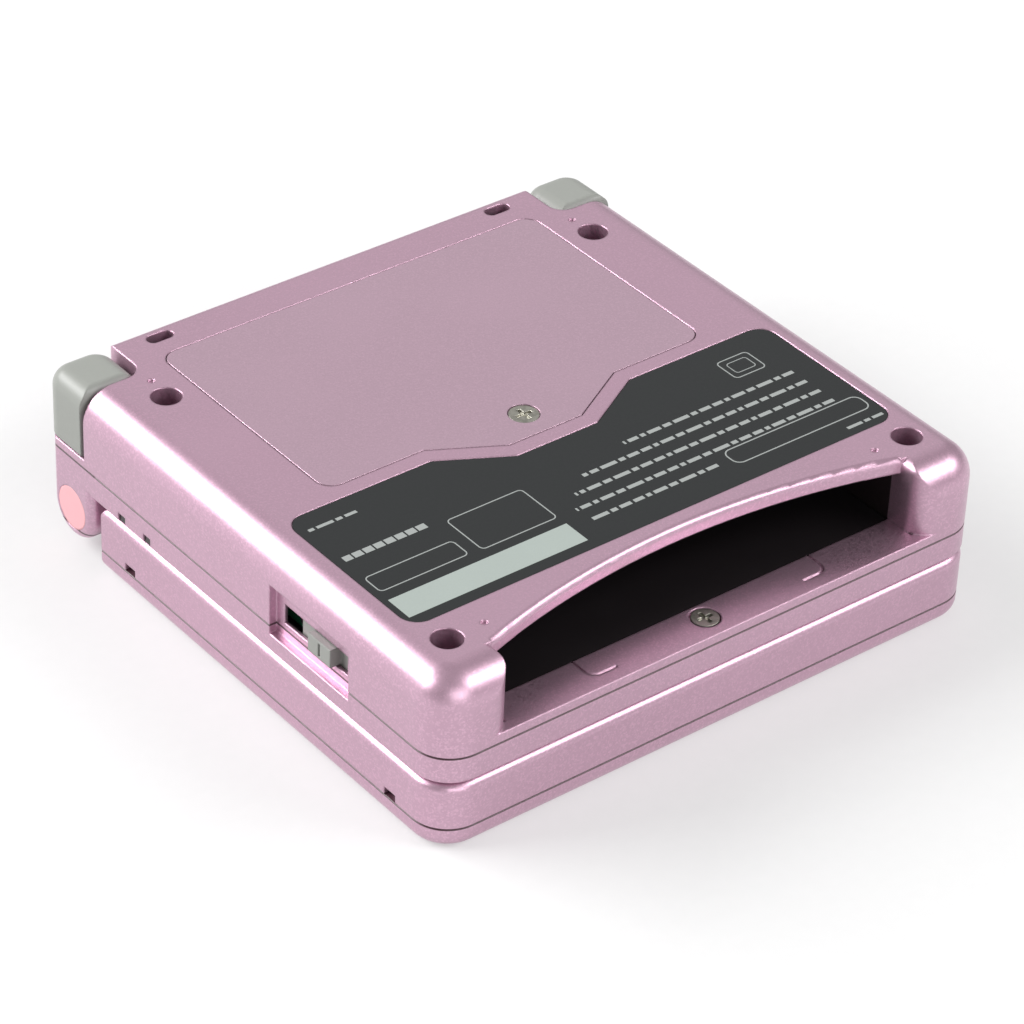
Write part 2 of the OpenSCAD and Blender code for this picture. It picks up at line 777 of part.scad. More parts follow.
module back_wells() {
    slot_half = [1.9, 0.95];
    both_sides() {
        for (p = [front_screw, back_screw]) {
            post(p, well_floor, body_h + over, well_r);
            post(p, 0, body_h, hole_r);
        }
        for (p = [[front_screw[0] - 5.3, front_screw[1]], [back_screw[0] - 0.4, back_screw[1] + 3.9]])
            post(p, body_h - 0.3, body_h + over, 0.45);
        translate([side_x - 15.2, back_wall_y - 2.6, roof_z - 3]) linear_extrude(body_h) {
            square([2 * (slot_half[0] - slot_half[1]), 2 * slot_half[1]], center = true);
            for (s = [-1, 1]) translate([s * (slot_half[0] - slot_half[1]), 0]) circle(slot_half[1]);
        }
    }
}

module port_holes() {
    translate([0, back_y, link_z]) cube([link_w, 4 * base_wall, link_h], center = true);
    translate([jack_x, back_y, link_z]) cube([jack_w, 4 * base_wall, jack_h], center = true);
}

module back_shell() {
    color("pink") difference() {
        union() {
            difference() {
                back_outside();
                back_cavity();
                block([-side_x - over, front_y - over, sill_z], [side_x + over, scoop_mouth, body_h + over]);
            }
            both_sides() front_lobe();
            both_sides() shoulder_walls();
            intersection() {
                back_outside();
                union() {
                    both_sides() {
                        for (p = [front_screw, back_screw]) post(p, base_seam + touch, body_h, tube_r);
                        block([slot_x, scoop_mouth, board_top + 0.1], [slot_x + slot_wall, slot_back + 2, body_h]);
                    }
                    block([-slot_x, front_y, base_seam], [slot_x, sill_back, sill_z]);
                    bay_solid();
                }
            }
        }
        both_sides() shoulder_notch();
        slot_cut();
        bay_cut();
        back_wells();
        port_holes();
        translate([0, 0, body_h - label_sink]) linear_extrude(label_sink + over) label_plan(0);
        sill_screw_hole();
        sill_marks();
        switch_recess(-1, switch_y, switch_w + recess_grow);
        switch_recess(1, volume_y, volume_w + recess_grow);
        translate([-side_x, switch_y, switch_z]) cube([4 * base_wall, switch_w, switch_h], center = true);
        translate([side_x, volume_y, switch_z]) cube([4 * base_wall, volume_w, switch_h], center = true);
    }
    color("pink") both_sides() shoulder_ledge();
}

sill_screw_at = [0, front_y + 3.4];

module sill_screw_hole() {
    post(sill_screw_at, sill_z - 0.7, body_h, head_r + 0.2);
    post(sill_screw_at, 0, sill_z, hole_r);
}

// Two shallow curved marks moulded into the sill
module sill_marks() {
    mark_t = 0.3;
    translate([0, sill_back, sill_z - 0.2]) linear_extrude(over) difference() {
        round_rect(37, 7.6, 1.6);
        round_rect(37 - 2 * mark_t, 7.6 - 2 * mark_t, 1.6 - mark_t);
        square([29, 20], center = true);
    }
}

module info_label() {
    color("darkslategray") translate([0, 0, body_h - label_sink]) linear_extrude(label_t)
        label_plan(0.1);
}

// ---------- inside the base ----------

module main_board() {
    edge = 1.4;
    board_back = lid_back + 0.2;
    color("darkgreen") difference() {
        translate([0, (sill_back + board_back) / 2 + 0.2, board_z]) linear_extrude(board_t)
            round_rect(2 * (base_in_x - edge), board_back - sill_back - 0.6, 1);
        both_sides() for (p = [front_screw, back_screw]) post(p, 0, body_h, tube_r + 0.3);
    }
}

module board_chips() {
    chip_t = 1;
    z = board_z - touch - chip_t;
    large = [15, 12, chip_t];
    small = [8.2, 6, chip_t];
    gap = 1.8;           // between the chips and the speaker
    y = speaker_at[1];
    color("dimgray") {
        translate([-large[0] / 2, y + speaker_r + gap + 1.7, z]) cube(large);
        translate([speaker_r + gap, y - small[1] / 2, z]) cube(small);
        translate([-speaker_r - gap - small[0], y - small[1] / 2, z]) cube(small);
    }
}

module cartridge_connector() {
    color("dimgray") difference() {
        block([-slot_x + 0.2, slot_back + touch, board_top + touch],
            [slot_x - 0.2, slot_back + connector_d, slot_roof - 0.2]);
        block([-pin_row_x, slot_back - over, pin_row_z - 1.6], [pin_row_x, slot_back + connector_d - 1, pin_row_z]);
    }
}

module connector_pins() {
    pitch = 1.5;
    color("gold") for (i = [-15.5:15.5])
        block([i * pitch - 0.3, slot_back + 0.3, pin_row_z - 0.35],
            [i * pitch + 0.3, slot_back + connector_d - 1, pin_row_z - touch]);
}

module slot_shield() {
    color("dimgray") block([-slot_x + 0.2, sill_back + 0.1, board_top + touch],
        [slot_x - 0.2, slot_back - 0.1, board_top + 0.3]);
}

module case_screws() {
    length = well_floor - panel_in - 0.4;
    color("silver") both_sides() for (p = [front_screw, back_screw])
        screw(p, well_floor, head_r, head_t, shank_r, length);
}

module sill_screw() {
    color("silver") screw(sill_screw_at, sill_z - 0.7, head_r, 0.7, shank_r, 2.2);
}

// Switch or potentiometer body on the board, behind a slider
module slider_body(y) {
    outer = base_in_x - slider_gap - slider_t - touch;
    block([outer - 3.8, y - 5, board_top + touch], [outer, y + 5, slider_body_top]);
}

module power_switch() {
    color("gray") mirror([1, 0, 0]) slider_body(switch_y);
}

// Plate behind the side wall, with a knob that stands through its opening
module slider(plate_w, plate_y, knob_t) {
    inner = side_x - base_wall - slider_gap;
    knob_h = switch_h - 2 * slider_gap;
    difference() {
        union() {
            block([inner - slider_t, plate_y - plate_w / 2, switch_z - switch_h / 2 - slider_lip],
                [inner, plate_y + plate_w / 2, switch_z + switch_h / 2 + slider_lip]);
            block([inner - touch, -knob_t / 2, switch_z - knob_h / 2],
                [side_x - knob_sink, knob_t / 2, switch_z + knob_h / 2]);
        }
        block([side_x - knob_sink - 0.2, -0.2, switch_z - 0.9], [side_x, 0.2, switch_z + 0.9]);
    }
}

module power_knob() {
    knob_y = switch_y - 1.9;
    plate_w = switch_w + 0.4;
    plate_y = switch_y - switch_travel - knob_y;
    color("lightgray") translate([0, knob_y, 0]) mirror([1, 0, 0]) slider(plate_w, plate_y, 4.4);
}

module volume_pot() {
    color("gray") slider_body(volume_y);
}

module volume_knob() {
    knob_y = volume_y - volume_travel / 2;
    color("lightgray") translate([0, knob_y, 0])
        slider(volume_w + volume_travel + 0.4, 0, 3);
}

module port_shell(x, w, h) {
    y1 = back_wall_y - base_wall - touch;
    difference() {
        block([x - w / 2, y1 - port_depth, link_z - h / 2], [x + w / 2, y1, link_z + h / 2]);
        block([x - w / 2 + port_wall, y1 - port_depth + port_wall, link_z - h / 2 + port_wall],
            [x + w / 2 - port_wall, y1 + over, link_z + h / 2 - port_wall]);
    }
}

module link_port() {
    color("silver") port_shell(0, link_w - 0.2, link_h - 0.2);
}

module power_port() {
    color("silver") port_shell(jack_x, jack_w - 0.2, jack_h - 0.2);
}

// Contact tongue in each port
module port_pins() {
    y1 = back_wall_y - base_wall - 2;
    y0 = back_wall_y - base_wall - port_depth + port_wall;
    color("gold") {
        for (i = [-2:2]) block([jack_x + i * 1.3 - 0.25, y0, link_z - 0.3], [jack_x + i * 1.3 + 0.25, y1, link_z]);
        for (i = [-2:2])
            block([i * 1.8 - 0.3, y0, link_z - link_h / 2 + port_wall + 0.12],
                [i * 1.8 + 0.3, y1, link_z - link_h / 2 + port_wall + 0.32]);
    }
}

module speaker() {
    color("dimgray") {
        translate([speaker_at[0], speaker_at[1], panel_in + 0.35]) cylinder(r = speaker_r, h = 0.9);
        translate([speaker_at[0], speaker_at[1], panel_in + 1.2]) cylinder(r = 4.5, h = board_z - panel_in - 1.25);
    }
}

module speaker_cloth() {
    color("black") translate([speaker_at[0], speaker_at[1], panel_in + touch]) cylinder(r = 8, h = 0.3);
}

// ---------- controls ----------

module direction_pad() {
    dish_r = 14;
    color("lightgray") translate([pad_at[0], pad_at[1], 0]) difference() {
        union() {
            translate([0, 0, button_z]) linear_extrude(pad_flange_z - button_z + touch) pad_cross(0);
            translate([0, 0, pad_flange_z]) cylinder(r = pad_flange_r, h = pad_flange_t);
        }
        translate([0, 0, pad_pivot_z]) sphere(pad_pivot_r + axle_clear);
        translate([0, 0, button_z - dish_r + 0.45]) sphere(dish_r, $fn = 96);
    }
}

// Ball under the middle of the pad that it rocks on
module pad_pivot() {
    color("lightgray") translate([pad_at[0], pad_at[1], pad_pivot_z]) sphere(pad_pivot_r);
}

module dome(at, r, top) {
    translate([at[0], at[1], top]) cylinder(r = r, h = rubber_top - rubber_t - top + touch);
}

module pad_rubber() {
    reach = 6.2;
    top = pad_flange_z + pad_flange_t + 0.5;
    color("lightgray") {
        translate([pad_at[0], pad_at[1], rubber_top - rubber_t]) cylinder(r = 9.6, h = rubber_t);
        for (a = [0:90:270])
            dome([pad_at[0] + reach * cos(a), pad_at[1] + reach * sin(a)], 1.6, top);
    }
}

module action_button(at) {
    color("lightgray") translate([at[0], at[1], 0]) {
        translate([0, 0, button_z]) rotate_extrude() {
            r = 0.6;
            square([action_r - r, action_flange_z - button_z + touch]);
            translate([0, r]) square([action_r, action_flange_z - button_z + touch - r]);
            translate([action_r - r, r]) circle(r);
        }
        translate([0, 0, action_flange_z]) cylinder(r = action_r + 0.7, h = flange_t);
    }
}

module button_a() {
    action_button(a_at);
}

module button_b() {
    action_button(b_at);
}

module action_rubber() {
    mid = (a_at + b_at) / 2;
    tilt = atan2(a_at[1] - b_at[1], a_at[0] - b_at[0]);
    color("lightgray") {
        difference() {
            translate([mid[0], mid[1], rubber_top - rubber_t]) rotate(tilt) linear_extrude(rubber_t)
                round_rect(22, 10, 3);
            block([-side_x, -side_x, 0], [-base_in_x + 0.2, side_x, body_h]);
        }
        for (p = [a_at, b_at]) dome(p, 3.2, dome_top);
    }
}

module small_button(at, r, z) {
    color("lightgray") {
        post(at, z, action_flange_z + touch, r);
        post(at, action_flange_z, action_flange_z + flange_t, r + 0.7);
    }
}

module start_button() {
    small_button(start_at, small_r, small_z);
}

module select_button() {
    small_button(select_at, small_r, small_z);
}

module small_rubber() {
    color("lightgray") {
        translate([0, start_at[1], rubber_top - rubber_t]) linear_extrude(rubber_t) round_rect(24, 7, 3);
        for (p = [start_at, select_at]) dome(p, 1.7, dome_top);
    }
}

module light_button() {
    small_button(light_at, light_r, small_z);
}

module light_rubber() {
    color("lightgray") {
        post(light_at, rubber_top - rubber_t, rubber_top, 3.4);
        dome(light_at, 1.5, dome_top);
    }
}

// Shoulder button on the +X side: wraps the rear corner, round behind and square in front
module shoulder_button() {
    x0 = notch_x + shoulder_gap;
    y0 = back_y - shoulder_d;
    r = notch_r - shoulder_gap;
    w = side_x - x0;
    difference() {
        translate([x0 + w / 2, back_y + y0, 0]) mirror([0, 1, 0])
            square_back_slab(w, y0, back_y, shoulder_z, shoulder_top, 3, 2.4, 0.3, 1.2);
        difference() {
            block([x0 - over, y0 - over, shoulder_z - over], [x0 + r, y0 + r, body_h]);
            post([x0 + r, y0 + r], 0, body_h + over, r);
        }
        post([pin_x, pin_y], shoulder_z - over, pin_top + 0.1, pin_r + axle_clear);
        post([pin_x, pin_y], shoulder_z - over, spring_top + 0.2, spring_out + 0.2);
    }
}

module shoulder_left() {
    color("silver") shoulder_button();
}

module shoulder_right() {
    color("silver") mirror([1, 0, 0]) shoulder_button();
}

module shoulder_pin(side) {
    color("silver") post([side * pin_x, pin_y], base_seam + pin_floor + touch, pin_top, pin_r);
}

module shoulder_pin_left() {
    shoulder_pin(1);
}

module shoulder_pin_right() {
    shoulder_pin(-1);
}

spring_wire = 0.25;
spring_mid = pin_r + 0.15 + spring_wire;
spring_out = spring_mid + spring_wire;
spring_turns = 3;
spring_pitch = 0.62;
spring_z = shoulder_floor + spring_wire + 0.03;
spring_top = spring_z + spring_turns * spring_pitch + spring_wire;

// Points of the torsion spring's coil round the pin
function coil(t) = [spring_mid * cos(360 * t), spring_mid * sin(360 * t), spring_pitch * t];

module sweep(points, r, sides) {
    n = len(points);
    ring = [for (i = [0:n - 1]) let (
        a = points[max(i - 1, 0)], b = points[min(i + 1, n - 1)], d = (b - a) / norm(b - a),
        u = cross(d, [0, 0, 1]) / norm(cross(d, [0, 0, 1])), v = cross(d, u))
        for (k = [0:sides - 1]) points[i] + r * (cos(360 * k / sides) * u + sin(360 * k / sides) * v)];
    polyhedron(ring, concat(
        [[for (k = [sides - 1:-1:0]) k]],
        [for (i = [0:n - 2], k = [0:sides - 1]) [i * sides + k, i * sides + (k + 1) % sides, (i + 1) * sides + k]],
        [for (i = [0:n - 2], k = [0:sides - 1]) [i * sides + (k + 1) % sides,
            (i + 1) * sides + (k + 1) % sides, (i + 1) * sides + k]],
        [[for (k = [0:sides - 1]) (n - 1) * sides + k]]));
}

module shoulder_spring(side) {
    steps = 8 * spring_turns;
    color("silver") translate([side * pin_x, pin_y, spring_z])
        sweep([for (i = [0:steps]) coil(i / 8)], spring_wire, 6);
}

module shoulder_spring_left() {
    shoulder_spring(1);
}

module shoulder_spring_right() {
    shoulder_spring(-1);
}

module shoulder_switch(side) {
    inner = bay_x + bay_wall + 0.3;
    outer = back_screw[0] - tube_r - 0.3;
    w = outer - inner;
    translate([side * (inner + outer) / 2, notch_y - 2.6, board_top + touch + 1.7])
        color("dimgray") cube([w, 4, 3.4], center = true);
}

module shoulder_switch_left() {
    shoulder_switch(1);
}

module shoulder_switch_right() {
    shoulder_switch(-1);
}

// ---------- battery ----------

module battery_pack() {
    r = 1.2;
    color("white") slab(battery_w, battery_y - battery_d / 2, battery_y + battery_d / 2, bay_floor + touch,
        bay_floor + touch + battery_t, 2.5, r, r);
}

module battery_contacts() {
    z = contact_z + 0.1;
    color("gold") for (i = [-1:1]) translate([bay_x + touch, battery_y + 4.5 * i - 1, z])
        cube([contact_w - touch, 2, contact_h - 0.2]);
}

module battery_cover() {
    color("pink") difference() {
        translate([0, 0, cover_seat + touch]) linear_extrude(cover_t) cover_plan(0);
        post([0, cover_screw_y], 0, body_h, hole_r);
        post([0, cover_screw_y], cover_screw_z, body_h + over, cover_head_r + 0.1);
    }
}

module cover_screw() {
    color("silver") screw([0, cover_screw_y], cover_screw_z, cover_head_r, 0.6, shank_r, cover_screw_l);
}

lid_cover();
lid_bezel();
screen_lens();
light_guide();
lcd_panel();
lcd_tray();
lid_screws();
lid_screw_plugs();
hinge_click_unit();
ribbon_cable();
hinge_sleeve();
hinge_shaft();
hinge_cap_left();
hinge_cap_right();
face_shell();
back_shell();
info_label();
main_board();
board_chips();
cartridge_connector();
connector_pins();
slot_shield();
case_screws();
sill_screw();
battery_contacts();
power_switch();
power_knob();
volume_pot();
volume_knob();
led_windows();
link_port();
power_port();
port_pins();
speaker();
speaker_cloth();
direction_pad();
pad_pivot();
pad_rubber();
button_a();
button_b();
action_rubber();
start_button();
select_button();
small_rubber();
light_button();
light_rubber();
shoulder_left();
shoulder_right();
shoulder_pin_left();
shoulder_pin_right();
shoulder_spring_left();
shoulder_spring_right();
shoulder_switch_left();
shoulder_switch_right();
battery_pack();
battery_cover();
cover_screw();
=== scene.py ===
"""Looks of the closed clamshell console: finishes, label print, camera and soft studio light.

Sizes and places are in millimetres, in the frame's axes, and MM turns them into Blender's metres.
"""

import json
import math

import bmesh
import bpy
from mathutils import Matrix, Vector


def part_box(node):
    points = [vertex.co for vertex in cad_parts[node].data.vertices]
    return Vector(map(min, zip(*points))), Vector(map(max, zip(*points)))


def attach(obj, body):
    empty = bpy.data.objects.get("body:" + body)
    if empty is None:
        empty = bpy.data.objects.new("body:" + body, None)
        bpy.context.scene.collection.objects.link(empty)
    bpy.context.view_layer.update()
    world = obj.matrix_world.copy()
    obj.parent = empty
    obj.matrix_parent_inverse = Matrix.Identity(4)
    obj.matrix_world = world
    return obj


MM = 0.001

# ---------- the photograph's camera, with its angles in degrees ----------
CAMERA_AZIMUTH = -39.489
CAMERA_ELEVATION = 35.392
CAMERA_ROLL = 2.485
CAMERA_DISTANCE = 519.506
CAMERA_TARGET = (-2.961, -4.334, 12.0)
CAMERA_LENS = 147.6
CAMERA_NEAR = 10.0
SENSOR_WIDTH = 36.0

# ---------- the cartridge bay, where the shells are bare plastic without flake, coloured near black as painted shade in the recess: its low and high corners ---
BAY_SHADE_LOW = (-31.8, -35.1, 13.9)
BAY_SHADE_HIGH = (31.8, 1.0, 22.4)
BAY_SHADE_BLUR = 0.05

# ---------- the seams between the lid's shells and between the base's, darkened as painted shade and grime ---
SEAMS_Z = (3.0, 13.4)
SEAM_HALF = 0.13
SEAM_BLUR = 0.05

# ---------- the open view in the screen's window ----------
VIEW_MIDDLE_Y = -6.2
VIEW_SIZE = (61.2, 40.8)
VIEW_BLUR = 0.1
ANY_HEIGHT = 1000.0    # half height of a mask that doesn't depend on z

# ---------- pitches of what repeats, and the softened edges ----------
CLOTH_PITCH = 0.4
TRACK_PITCH = 1.6
PIXEL_PITCH = 0.255
EDGE = 0.35
FINE_EDGE = EDGE / 2

# ---------- the label's print ----------
PRINT_SINK = 0.01      # how far the print reaches into the label
PRINT_RISE = 0.02      # and how far it stands above it
CORNER_STEPS = 6       # straight pieces in a frame's round corner
WORDS = (1.7, 0.9, 2.4, 1.2, 2.0, 0.7, 1.5)
SQUARES = (1.3,)
LONG_ROWS = ((-7.5, 12.4), (-7.5, 33.4), (-5.6, 33.4), (-2.4, 33.4), (6.0, 33.4))
LONG_ROWS_FRONT = -24.4
LONG_ROWS_PITCH = 2.55

# ---------- floor and sky ----------
FLOOR_HALF = 3000.0
FLOOR_GREYS = (0.45, 0.47)
FLOOR_GLOW = 0.38
SKY_STRENGTH = 0.36
WHITE = (1.0, 1.0, 1.0)


# ---------- colours ----------
def srgb(r, g, b):
    """Linear colour of an 8-bit screen colour."""
    return tuple((c / 255 / 12.92) if c < 11 else ((c / 255 + 0.055) / 1.055) ** 2.4 for c in (r, g, b))


def shade(base, factor, lift=0.0):
    """The base colour times a factor, lifted by lift and held at 1."""
    return tuple(min(1.0, c * factor + lift) for c in base)


def colour(value):
    """A socket as it is, or a colour with its alpha of 1."""
    return value if isinstance(value, Field) else (*value, 1)


SHELL_MAUVE = srgb(204, 167, 187)
COVER_MAUVE = srgb(203, 171, 188)
# painted shade: the near-black colour inside the cartridge bay
BAY_PAINTED_SHADE = srgb(26, 18, 20)
# painted shade and grime: the dark colour along the seams
SEAM_SHADE_AND_GRIME = srgb(78, 52, 60)


# ---------- shader maths ----------
class Field:
    """One output of a node, with the operators that build Math nodes."""

    def __init__(self, nodes, socket):
        self.nodes = nodes
        self.socket = socket

    def _math(self, operation, *values):
        return self.nodes.add("ShaderNodeMath", {"operation": operation}, dict(enumerate(values)))

    def __add__(self, other):
        return self._math("ADD", self, other)

    __radd__ = __add__

    def __sub__(self, other):
        return self._math("SUBTRACT", self, other)

    def __rsub__(self, other):
        return self._math("SUBTRACT", other, self)

    def __mul__(self, other):
        return self._math("MULTIPLY", self, other)

    __rmul__ = __mul__

    def __abs__(self):
        return self._math("ABSOLUTE", self)

    def least(self, other):
        return self._math("MINIMUM", self, other)

    def most(self, other):
        return self._math("MAXIMUM", self, other)

    def wave(self, pitch):
        """Sine of a coordinate, once round in each pitch."""
        return self._math("SINE", self * (2 * math.pi / (pitch * MM)))

    def ramp(self, low, high):
        """0 at low and 1 at high, smooth between."""
        sockets = {"Value": self, "From Min": low, "From Max": high}
        return self.nodes.add("ShaderNodeMapRange", {"interpolation_type": "SMOOTHSTEP"}, sockets)


class Nodes:
    """A node tree, emptied. add() makes any node: its settings first, then its sockets."""

    def __init__(self, tree):
        self.tree = tree
        self.tree.nodes.clear()

    def add(self, kind, settings, sockets, output=0):
        node = self.tree.nodes.new(kind)
        for key, value in settings.items():
            setattr(node, key, value)
        for key, value in sockets.items():
            target = node.inputs[key]
            if isinstance(value, Field):
                self.tree.links.new(value.socket, target)
            else:
                target.default_value = value
        return Field(self, node.outputs[output]) if node.outputs else None

    def split(self, field, *outputs):
        """The named outputs of the node that a field comes from."""
        return [Field(self, field.socket.node.outputs[name]) for name in outputs]


class Finish(Nodes):
    """A material and its nodes."""

    def __init__(self, name):
        self.data = bpy.data.materials.new(name)
        self.data.use_nodes = True
        super().__init__(self.data.node_tree)
        self.place = self.add("ShaderNodeTexCoord", {}, {}, "Object")

    def noise(self, size, detail=2.0, roughness=0.5, place=None):
        """Noise whose features are about size across."""
        sockets = {"Scale": 1 / (size * MM), "Detail": detail, "Roughness": roughness}
        sockets["Vector"] = place or self.place
        return self.add("ShaderNodeTexNoise", {}, sockets)

    def cells(self, size, output):
        """Cells about size across."""
        return self.add("ShaderNodeTexVoronoi", {}, {"Vector": self.place, "Scale": 1 / (size * MM)}, output)

    def axes(self):
        """x, y and z in metres."""
        return self.split(self.add("ShaderNodeSeparateXYZ", {}, {"Vector": self.place}), "X", "Y", "Z")

    def mix(self, amount, first, second):
        """Colour between first and second. Sockets 6 and 7 and output 2 are the node's colours."""
        sockets = {"Factor": amount, 6: colour(first), 7: colour(second)}
        return self.add("ShaderNodeMix", {"data_type": "RGBA"}, sockets, 2)

    def box_mask(self, low, high, blur):
        """1 inside the box from low to high and 0 outside it, smooth over blur to each side."""
        sides = []
        for axis, lo, hi in zip(self.axes(), low, high):
            middle = (lo + hi) / 2
            reach = (hi - lo) / 2
            sides.append(abs(axis - middle * MM).ramp((reach + blur) * MM, (reach - blur) * MM))
        return sides[0] * sides[1] * sides[2]

    def bump(self, height, strength, depth, edge=0.0):
        """Normal from a height in 0 to 1, over edges that are softened by edge."""
        sockets = {"Height": height, "Strength": strength, "Distance": depth * MM}
        if edge:
            sockets["Normal"] = self.add("ShaderNodeBevel", {"samples": 6}, {"Radius": edge * MM})
        return self.add("ShaderNodeBump", {}, sockets)

    def surface(self, **sockets):
        """Material with a Principled shader. Its sockets are named with _ for spaces."""
        named = {key.replace("_", " "): colour(v) if key == "Base_Color" else v for key, v in sockets.items()}
        shader = self.add("ShaderNodeBsdfPrincipled", {}, named)
        self.add("ShaderNodeOutputMaterial", {}, {"Surface": shader})
        return self.data


# ---------- finishes ----------
def metallic_paint(name, base, edge, shells=False):
    """Satin mauve paint with fine metal flake. The shells' is bare plastic with painted shade in the
    cartridge slot, and has its seams darkened as painted shade and grime.
    """
    f = Finish(name)
    flake = f.add("ShaderNodeRGBToBW", {}, {"Color": f.cells(0.22, "Color")})
    grain = f.noise(0.35, detail=3.0, roughness=0.7)
    cloud = f.noise(18.0)
    glint = flake.ramp(0.45, 0.95)
    tone = f.mix(glint * 0.55 + grain * 0.45, shade(base, 0.84), shade(base, 1.17, lift=0.01))
    tone = f.mix(cloud.ramp(0.35, 0.75) * 0.25, tone, shade(base, 1.05))
    rough = 0.30 + grain * 0.10 + cloud * 0.05
    metal = 0.80 + glint * 0.15
    if shells:
        # painted shade: inside the cartridge bay the shells are bare plastic without metal, coloured near
        # black for the shade in the recess
        bay_shade = f.box_mask(BAY_SHADE_LOW, BAY_SHADE_HIGH, BAY_SHADE_BLUR)
        tone = f.mix(bay_shade, tone, BAY_PAINTED_SHADE)
        metal = metal * (1 - bay_shade)
        rough = rough + bay_shade * 0.1
        # painted shade and grime: a thin dark, non-metallic band along each seam
        height_z = f.axes()[2]
        for seam_z in SEAMS_Z:
            seam_shade_and_grime = abs(height_z - seam_z * MM).ramp((SEAM_HALF + SEAM_BLUR) * MM, SEAM_HALF * MM)
            tone = f.mix(seam_shade_and_grime, tone, SEAM_SHADE_AND_GRIME)
            metal = metal * (1 - seam_shade_and_grime)
    normal = f.bump(grain * 0.6 + flake * 0.4, strength=0.16, depth=0.04, edge=edge)
    return f.surface(Base_Color=tone, Metallic=metal, Roughness=rough, Normal=normal, Coat_Weight=0.25,
                     Coat_Roughness=0.25)


def moulded_plastic(name, base, rough, relief, edge=0.0):
    """Plain moulded plastic with a fine texture and slight handling marks."""
    f = Finish(name)
    fine = f.noise(0.4, detail=3.0, roughness=0.6)
    broad = f.noise(6.0, detail=3.0)
    wear = f.noise(2.5, detail=5.0, roughness=0.7).ramp(0.55, 0.75)
    tone = f.mix(fine * 0.5 + broad * 0.5, shade(base, 0.94), shade(base, 1.06))
    return f.surface(Base_Color=tone, Roughness=rough - 0.05 + broad * 0.08 + wear * 0.06,
                     Normal=f.bump(fine, relief, depth=0.03, edge=edge))


def metal(name, base, rough, edge=0.0):
    """Turned or pressed metal with fine scratches along x and dull spots."""
    f = Finish(name)
    x, y, z = f.axes()
    stretched = f.add("ShaderNodeCombineXYZ", {}, {"X": x * 0.12, "Y": y, "Z": z})
    scratch = f.noise(0.2, roughness=0.6, place=stretched)
    dull = f.noise(1.2, detail=4.0, roughness=0.6).ramp(0.45, 0.7)
    tone = f.mix(dull * 0.6 + scratch * 0.2, base, shade(base, 0.55))
    return f.surface(Base_Color=tone, Metallic=1.0, Roughness=rough + dull * 0.2 + scratch * 0.08,
                     Normal=f.bump(scratch, strength=0.25, depth=0.02, edge=edge))


def soft_rubber(name, base):
    """Matt rubber with a little dust."""
    f = Finish(name)
    fine = f.noise(0.6, detail=4.0, roughness=0.65)
    dust = f.noise(3.0, detail=4.0, roughness=0.7).ramp(0.5, 0.8)
    tone = f.mix(dust * 0.3 + fine * 0.15, base, shade(base, 1.25, lift=0.02))
    return f.surface(Base_Color=tone, Roughness=0.62 + fine * 0.15,
                     Normal=f.bump(fine, strength=0.3, depth=0.04))


def woven_cloth(name, base):
    """Fine square mesh over the speaker."""
    f = Finish(name)
    x, y, _ = f.axes()
    weave = abs(x.wave(CLOTH_PITCH)) * abs(y.wave(CLOTH_PITCH))
    tone = f.mix(weave, shade(base, 0.4), base)
    return f.surface(Base_Color=tone, Roughness=0.85, Normal=f.bump(weave, strength=0.6, depth=0.08))


def printed_film(name, base):
    """Charcoal label film with a faint pebble."""
    f = Finish(name)
    pebble = f.noise(0.5, detail=3.0, roughness=0.65)
    cloud = f.noise(12.0, detail=3.0)
    tone = f.mix(pebble * 0.6 + cloud * 0.4, shade(base, 0.88), shade(base, 1.12))
    return f.surface(Base_Color=tone, Roughness=0.40 + pebble * 0.12 + cloud * 0.05,
                     Normal=f.bump(pebble, strength=0.22, depth=0.03))


def printed_board(name, base):
    """Green laminate with paler copper tracks under the lacquer."""
    f = Finish(name)
    blocks = f.cells(9.0, "Distance").ramp(0.25, 0.5)
    track = f.axes()[0].wave(TRACK_PITCH).ramp(0.2, 0.5) * blocks
    fine = f.noise(0.5)
    tone = f.mix(track * 0.5 + fine * 0.1, base, shade(base, 1.8, lift=0.02))
    return f.surface(Base_Color=tone, Roughness=0.32 + fine * 0.1,
                     Normal=f.bump(track, strength=0.3, depth=0.03))


def screen_window(name, border, glass):
    """Clear window with a dark printed border, open over the display."""
    f = Finish(name)
    half_x, half_y = (size / 2 for size in VIEW_SIZE)
    low = (-half_x, VIEW_MIDDLE_Y - half_y, -ANY_HEIGHT)
    high = (half_x, VIEW_MIDDLE_Y + half_y, ANY_HEIGHT)
    view = f.box_mask(low, high, VIEW_BLUR)
    smear = f.noise(10.0, detail=4.0, roughness=0.6)
    return f.surface(Base_Color=f.mix(view, border, glass), Roughness=0.07 + smear * 0.06,
                     Alpha=1 - view * 0.72, Coat_Weight=0.5, Normal=f.bump(smear, strength=0.04, depth=0.02))


def display(name, gaps, pixels):
    """Unlit display with a faint pixel grid."""
    f = Finish(name)
    x, y, _ = f.axes()
    grid = abs(x.wave(PIXEL_PITCH)).least(abs(y.wave(PIXEL_PITCH))).ramp(0.0, 0.35)
    return f.surface(Base_Color=f.mix(grid, gaps, pixels), Roughness=0.25 + grid * 0.05,
                     Normal=f.bump(grid, strength=0.1, depth=0.02))


def shrink_wrap(name, crease_shade, film):
    """Pale shrink wrap with soft creases, darker in their hollows as painted shade."""
    f = Finish(name)
    crease = f.noise(4.0, detail=5.0, roughness=0.7)
    # painted shade: the film is darker where the crease bump sinks
    return f.surface(Base_Color=f.mix(crease, crease_shade, film), Roughness=0.3 + crease * 0.25,
                     Normal=f.bump(crease, strength=0.25, depth=0.1))


